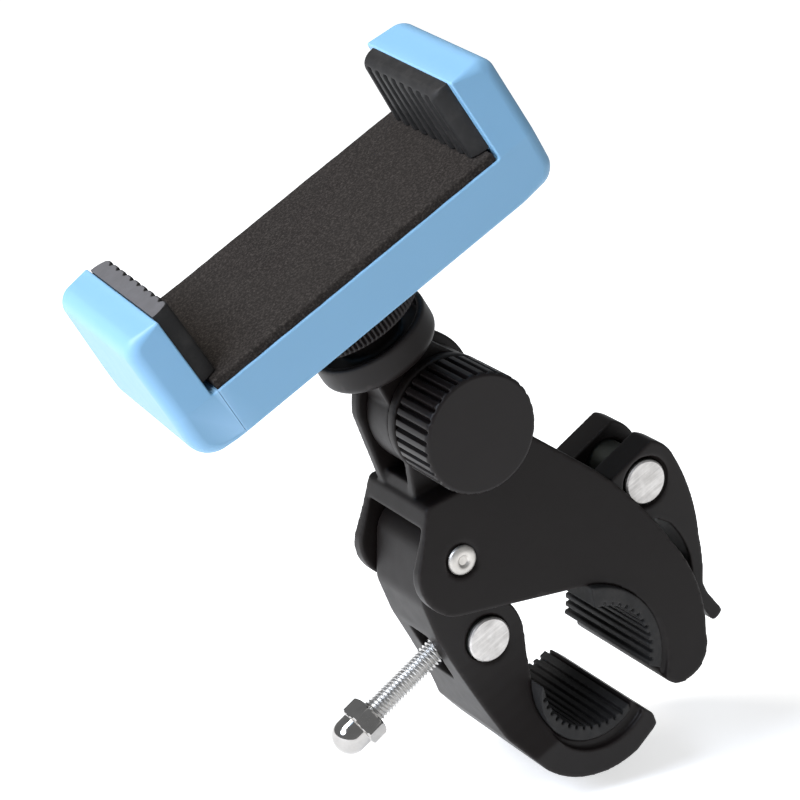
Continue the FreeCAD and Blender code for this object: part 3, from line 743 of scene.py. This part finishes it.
def knob_washer():
    """Washer with its outer edges broken."""
    bore, radius, low, high = 2.7, 6.0, 5.95, 6.45
    chamfer_in, chamfer_up = 0.15, 0.1
    profile = [(bore, low), (radius - chamfer_in, low), (radius, low + chamfer_up),
               (radius, high - chamfer_up), (radius - chamfer_in, high), (bore, high)]
    made = thing("knob_washer_turned", lathe(profile, 96), KNOB)
    piece(shaded(made), "knob", ZINC, "knob_washer")


def clevis_nut():
    """M5 hexagon nut with both ends chamfered."""
    low, high = -10.6, -6.6

    def surface(turn, height):
        return chamfered_hexagon(turn, 0.475 * M5_FLATS, min(height - low, high - height))

    made = thing("clevis_nut_chamfered", turned(surface, hexagon_heights(low, high), 144, M5_BORE), KNOB)
    piece(shaded(made, 25), "clamp_body", ZINC, "clevis_nut")


tilt_knob()
knob_screw()
knob_washer()
clevis_nut()


# ---------------------------------------------------------------- stud and lock wheel
def head_stud():
    """Quarter inch stud from the head into the holder."""
    stud = threaded("head_stud_threaded", STUD_RADIUS, STUD_PITCH, 20.4, HOLDER_RISE + 6.0, HEAD)
    piece(stud, "head", ZINC, "head_stud")


def lock_wheel():
    """Knurled wheel that locks the holder on the stud."""
    radius, low, high = 13.8, 27.65, 33.05
    knurls, knurl_depth, groove, chamfer = 90, 0.45, 0.32, 0.55

    def surface(turn, height):
        from_end = min(height - low, high - height)
        crest = radius - knurl_depth * grooved(turn, knurls, groove)
        return min(crest, radius - chamfer + from_end * 1.1)

    heights = [low, low + 0.25, low + 0.5, low + 0.8, high - 0.8, high - 0.5, high - 0.25, high]
    wheel = thing("lock_wheel_knurled", turned(surface, heights, knurls * 8, STUD_BORE), HEAD)
    piece(shaded(wheel, 38), "wheel", KNOB_BLACK, "lock_wheel")


head_stud()
lock_wheel()

# ---------------------------------------------------------------- phone holder, in its own frame
HALF = 33.95                  # half the mouth, from the middle to an arm's inner face
SEAM = 1.4 - HALF             # where the slider meets the frame
PAST_SEAM = 4.0               # how far an outline runs past the seam before it is cut there
SEAM_GAP = 0.09
WIDE = 37.5
BASE = 10.7                   # top of the base, under the foam
TOP = 27.7                    # top of the arms
LEAN_NEAR = 2.6               # how far an arm's sides lean in by its top
LEAN_FAR = 1.5
MOUTH_ROUND = 0.45
TOP_ROUND = 3.3
RAIL_AT = 11.7                # each rail's distance from the middle plane
RAIL_LOW = 2.2
RAIL_HIGH = 8.6
RAIL_WIDE = 6.4
RAIL_END = SEAM + 39.0
CHANNEL_WIDE = 7.0
CHANNEL_END = 63.0 - HALF
POST_AT = 61.8 - HALF
SPRING_HEIGHT = 5.4
INSERT_RADIUS = 5.0
INSERT_HIGH = 6.5


def holder_edge(point):
    """Rounding of the side edges: crisp along the base and mouth, soft round the outside of the arms."""
    under, mouth, outside, change_over = 0.9, 0.4, 2.8, 8.0
    crisp = under if point.y < 1 else mouth
    return crisp + (outside - crisp) * clamped((abs(point.x) - HALF) / change_over)


def blue_shell(name, corners, seam, keep):
    """One half of the holder: its outline run across the width and cut square at the seam, keeping
    the side that keep (1 or -1) points to; the arm's sides lean in towards the top."""
    bm = soft_prism(dense(outline(corners, 0.5)), -WIDE / 2, WIDE / 2, holder_edge)
    everything = bm.verts[:] + bm.edges[:] + bm.faces[:]
    bmesh.ops.bisect_plane(bm, geom=everything, plane_co=(seam, 0, 0), plane_no=(keep, 0, 0),
                           clear_inner=True)
    bmesh.ops.edgeloop_fill(bm, edges=[edge for edge in bm.edges if edge.is_boundary])
    everything = bm.verts[:] + bm.edges[:] + bm.faces[:]
    bmesh.ops.bisect_plane(bm, geom=everything, plane_co=(0, 0, BASE), plane_no=(0, 0, 1))
    bmesh.ops.recalc_face_normals(bm, faces=bm.faces)
    for vert in bm.verts:
        up = clamped((vert.co.z - BASE) / (TOP - BASE))
        lean = LEAN_NEAR if vert.co.y < 0 else LEAN_FAR
        vert.co.y *= 1 - up * lean / (WIDE / 2)
    return thing(name, bm, HOLDER)


def rail_bars(name, end, width):
    """Two bars side by side along the holder, from just outside the seam to an end."""
    inset = (CHANNEL_WIDE - width) / 2
    low, high, corner = RAIL_LOW + inset, RAIL_HIGH - inset, 0.3
    bars = []
    for side in (-1, 1):
        near, far = side * RAIL_AT - width / 2, side * RAIL_AT + width / 2
        section = outline([(near, low, corner), (far, low, corner),
                           (far, high, corner), (near, high, corner)], corner)
        stack = [[(x, point.x, point.y) for point in section] for x in (SEAM - 1, end)]
        bars.append(thing("%s_%d" % (name, side + 2), rings(stack), HOLDER))
    return bars


def holder_frame():
    """Base and fixed arm, with two channels for the slider's rails and a hole for the insert."""
    shell = blue_shell("holder_frame_shell", [
        (SEAM - PAST_SEAM, 0, 1.5),
        (SEAM - PAST_SEAM, BASE, 1.5),
        (HALF, BASE, 0.5),
        (HALF, TOP, MOUTH_ROUND),
        (HALF + 9.25, TOP, TOP_ROUND),
        (HALF + 9.0, 8.0),
        (HALF + 8.8, 0, 3.8),
    ], SEAM, 1)
    channels = rail_bars("channel", CHANNEL_END, CHANNEL_WIDE)
    hole = rod("insert_hole", INSERT_RADIUS, -1, INSERT_HIGH, HOLDER, 64)
    piece(shaded(cut(shell, *channels, hole), 30), "holder", BLUE, "holder_frame")


def sliding_arm():
    """Arm that slides out on two rails, its foot closing the end of the base."""
    shell = blue_shell("sliding_arm_shell", [
        (SEAM + PAST_SEAM, 0, 1.5),
        (-HALF - 8.3, 0, 5.0),
        (-HALF - 8.4, 8.0),
        (-HALF - 8.2, TOP, TOP_ROUND),
        (-HALF, TOP, MOUTH_ROUND),
        (-HALF, BASE, 0.5),
        (SEAM + PAST_SEAM, BASE, 1.5),
    ], SEAM - SEAM_GAP, -1)
    whole = cut(shell, *rail_bars("rail", RAIL_END, RAIL_WIDE), operation="UNION")
    piece(shaded(whole, 30), "slider", BLUE, "sliding_arm")


def arm_pad(name, face, inward, rise, nose, left, material, body, node):
    """Rubber pad with upright ribs on an arm's face. It faces inward (1 or -1); rise is its top over
    the arm's, nose the rounding along its top, and left the share of the grooves' depth left there."""
    across, ribs, rib_points = 31.0, 9, 14
    crest, valley, rib_round, groove_width = 3.8, 2.45, 0.25, 0.25
    foot, high = BASE + 2.2, TOP + rise
    corner, near_reach, narrowing = 1.9, 1.6, 0.06
    samples = [across * (i / (ribs * rib_points) - 0.5) for i in range(ribs * rib_points + 1)]

    def front(v, height):
        fade = left + (1 - left) * smooth_step((high - 0.9 - height) / 0.6)
        from_crest = 2 * abs(((v / across + 0.5) * ribs) % 1.0 - 0.5)
        groove = (crest - valley - rib_round) * grooved(v / across + 0.5, ribs, groove_width)
        depth = crest - (groove + rib_round * from_crest ** 2) * fade
        return depth - round_off(corner, across / 2 - abs(v)) - round_off(nose, high - height)

    def place_across(v, height):
        up = clamped((height - BASE) / (TOP - BASE))
        return v * (1 - narrowing * up) - near_reach * (1 - up) * (0.5 - v / across)

    heights = [foot, high - 2.4]
    heights += [high - nose * (1 - math.sin(math.pi / 2 * i / 16)) for i in range(17)]
    stack = []
    for height in heights:
        level = [(face + inward * front(v, height), place_across(v, height), height) for v in samples]
        level += [(face, place_across(v, height), height) for v in (across / 2, -across / 2)]
        stack.append(level)
    made = shaded(thing(name, rings(stack), HOLDER), 40)
    piece(made, body, material, node)


def fixed_arm_pad():
    """Pad whose grooves fade out below its rounded top."""
    arm_pad("fixed_arm_pad_ribbed", HALF, -1, rise=-0.3, nose=1.9, left=0.0, material=RUBBER,
            body="holder", node="fixed_arm_pad")


def sliding_arm_pad():
    """Pad that stands proud of its arm, with its ribs showing on the flat top and a painted highlight on its
    upward faces.
    """
    arm_pad("sliding_arm_pad_ribbed", -HALF, 1, rise=0.5, nose=0.5, left=0.5, material=HIGHLIT_RUBBER,
            body="slider", node="sliding_arm_pad")


def foam_pad():
    """Die-cut foam sheet stuck to the frame's base from the seam to the fixed arm, its ends under
    the arm pads, slightly crowned, with cut edges."""
    left, right, near, far = SEAM + 0.1, HALF - 0.55, -18.3, 18.5
    thick, glue, edge_drop = 1.85, 0.02, 0.4
    edge = [0, 0.12, 0.3, 0.55]

    def stations(low, high):
        middle = spaced(low + edge[-1] + 0.6, high - edge[-1] - 0.6, 0.85)
        return [low + inside for inside in edge] + middle + [high - inside for inside in reversed(edge)]

    def wave(x, y, layer, frequency, size):
        return size * noise.noise(Vector((x, y, layer)) * frequency)

    def thickness(x, y):
        to_side = min(y - near, far - y)
        to_edge = min(x - left, right - x, to_side)
        swell = 0.12 * smooth_step(to_side / 4)
        ripple = wave(x, y, 0, 0.13, 0.07) + wave(x, y, 7, 0.6, 0.04)
        lift = 0.1 * smooth_step((y - near) / (far - near) * 1.6 - 0.6)
        return thick + swell + ripple + lift - edge_drop * round_off(1.0, to_edge / edge[-1])

    bm = bmesh.new()
    xs, ys = stations(left, right), stations(near, far)
    last_x, last_y = len(xs) - 1, len(ys) - 1
    top, under = [], []
    for x in xs:
        spots = [(y, y + wave(x, y, 3, 0.35, 0.12)) for y in ys]
        top.append([bm.verts.new((x, moved, BASE + thickness(x, y))) for y, moved in spots])
        under.append([bm.verts.new((x, moved, BASE + glue)) for y, moved in spots])
    for i in range(last_x):
        for j in range(last_y):
            bm.faces.new((top[i][j], top[i + 1][j], top[i + 1][j + 1], top[i][j + 1]))
            bm.faces.new((under[i][j], under[i][j + 1], under[i + 1][j + 1], under[i + 1][j]))
    rim = [(i, 0) for i in range(last_x)] + [(last_x, j) for j in range(last_y)]
    rim += [(i, last_y) for i in range(last_x, 0, -1)] + [(0, j) for j in range(last_y, 0, -1)]
    for (a, b), (c, d) in zip(rim, rim[1:] + rim[:1]):
        bm.faces.new((under[a][b], under[c][d], top[c][d], top[a][b]))
    bmesh.ops.recalc_face_normals(bm, faces=bm.faces)
    made = shaded(thing("foam_pad_sheet", bm, HOLDER), 40)
    piece(made, "holder", FOAM, "foam_pad")


def brass_insert():
    """Knurled quarter inch threaded insert in the underside, with a waist that locks it in."""
    clearance, knurls, knurl_depth, groove = 0.05, 36, 0.2, 0.3
    waist_low, waist_high, waist_depth = 2.9, 3.6, 0.35
    low, high = clearance, INSERT_HIGH - clearance

    def surface(turn, height):
        waist = waist_depth if waist_low < height < waist_high else 0.0
        return INSERT_RADIUS - clearance - knurl_depth * grooved(turn, knurls, groove) - waist

    heights = [low, low + 0.25, waist_low, waist_low + 0.05]
    heights += [waist_high - 0.05, waist_high, high - 0.25, high]
    made = thing("holder_insert_knurled", turned(surface, heights, knurls * 8, STUD_BORE), HOLDER)
    piece(shaded(made), "holder", BRASS, "holder_insert")


def spring_posts():
    """Two necked posts that hold the far ends of the springs."""
    radius, neck = 1.0, 0.75
    profile = [(0, RAIL_LOW), (radius, RAIL_LOW), (radius, 4.6), (neck, 4.9), (neck, 5.9),
               (radius, 6.2), (radius, RAIL_HIGH - 0.3), (radius - 0.2, RAIL_HIGH), (0, RAIL_HIGH)]
    posts = []
    for side in (-1, 1):
        post = lathe(profile, 32)
        bmesh.ops.translate(post, verts=post.verts, vec=(POST_AT, side * RAIL_AT, 0))
        posts.append(post)
    made = thing("spring_posts_necked", merged(posts), HOLDER)
    piece(shaded(made), "holder", STEEL, "spring_post")


def arm_springs():
    """Two extension springs from the ends of the slider's rails to loops round the posts' necks."""
    coil, wire_radius, turns, per_turn, loop, loop_points = 1.9, 0.3, 12, 24, 1.12, 18
    low, high = RAIL_END + 0.9, POST_AT - 2.4
    coil_points = turns * per_turn
    springs = []
    for side in (-1, 1):
        middle = Vector((0, side * RAIL_AT, SPRING_HEIGHT))
        path = [middle + Vector((RAIL_END + 0.5, 0, 0))]
        for i in range(coil_points + 1):
            turn = math.tau * i / per_turn
            along = low + (high - low) * i / coil_points
            path.append(middle + Vector((along, coil * math.cos(turn), coil * math.sin(turn))))
        for i in range(loop_points + 1):
            turn = math.pi * (1 - 1.7 * i / loop_points)
            path.append(middle + Vector((POST_AT + loop * math.cos(turn), loop * math.sin(turn), 0)))
        springs.append(wire(path, wire_radius))
    made = shaded(thing("arm_springs_coiled", merged(springs), HOLDER), 60)
    made.data.materials.append(ZINC)
    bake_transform(made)
    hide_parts("arm_spring")


holder_frame()
sliding_arm()
fixed_arm_pad()
sliding_arm_pad()
foam_pad()
brass_insert()
spring_posts()
arm_springs()


# ---------------------------------------------------------------- floor, light and camera
def floor():
    """Pale floor 4 mm below the mount, partly lit from within so that it stays near white."""
    n = Nodes("pale_floor")
    n.drive("Base Color", n.mix(n.noise(6, 3), (0.90, 0.90, 0.90), (0.94, 0.94, 0.94)))
    n.set(Roughness=0.9, Specular_IOR_Level=0.1, Emission_Color=(1, 1, 1, 1), Emission_Strength=0.60)
    bm = bmesh.new()
    bmesh.ops.create_grid(bm, x_segments=1, y_segments=1, size=3000)
    made = thing("floor", bm, MODEL)
    made.location.z = CAD_BOX[0].z - 4 * MM
    made.data.materials.append(n.material)


def world_light():
    """Soft, slightly cool light from all round."""
    world = bpy.data.worlds.new("studio")
    bpy.context.scene.world = world
    world.use_nodes = True
    background = world.node_tree.nodes["Background"]
    background.inputs["Color"].default_value = (0.94, 0.97, 1, 1)
    background.inputs["Strength"].default_value = 0.29


def lamp(name, at, size, power, tint=(1, 1, 1)):
    """Round soft box aimed at the middle of the mount."""
    aim = Vector((-0.03, 0, 0.05))
    light = bpy.data.lights.new(name, "AREA")
    light.color = tint
    light.shape = "DISK"
    light.size = size
    light.energy = power
    made = bpy.data.objects.new(name, light)
    made.location = at
    made.rotation_euler = (aim - Vector(at)).to_track_quat("-Z", "Y").to_euler()
    bpy.context.scene.collection.objects.link(made)


def camera():
    """130.66 mm lens on a 36 mm sensor, 30.39 degrees round and 18.94 above."""
    round_by, above = math.radians(-30.39), math.radians(18.94)
    level = Vector((math.sin(round_by), -math.cos(round_by), 0))
    back = level * math.cos(above) + Vector((0, 0, math.sin(above)))
    data = bpy.data.cameras.new("camera")
    data.lens = 130.66
    data.sensor_width = 36
    data.clip_start = 0.05
    data.clip_end = 20
    made = bpy.data.objects.new("camera", data)
    made.location = (-0.30194, -0.45245, 0.23781)
    made.rotation_euler = (-back).to_track_quat("-Z", "Y").to_euler()
    bpy.context.scene.collection.objects.link(made)
    bpy.context.scene.camera = made


floor()
world_light()
lamp("key", (-0.55, 0.10, 0.75), 0.35, 6.0, (1.0, 0.96, 0.90))
lamp("left", (-0.66, -0.05, 0.45), 0.45, 6.0, (0.78, 0.86, 1.0))
lamp("front", (0.10, -0.70, 0.45), 0.5, 0.25)
camera()
bpy.context.scene.view_settings.view_transform = "Standard"
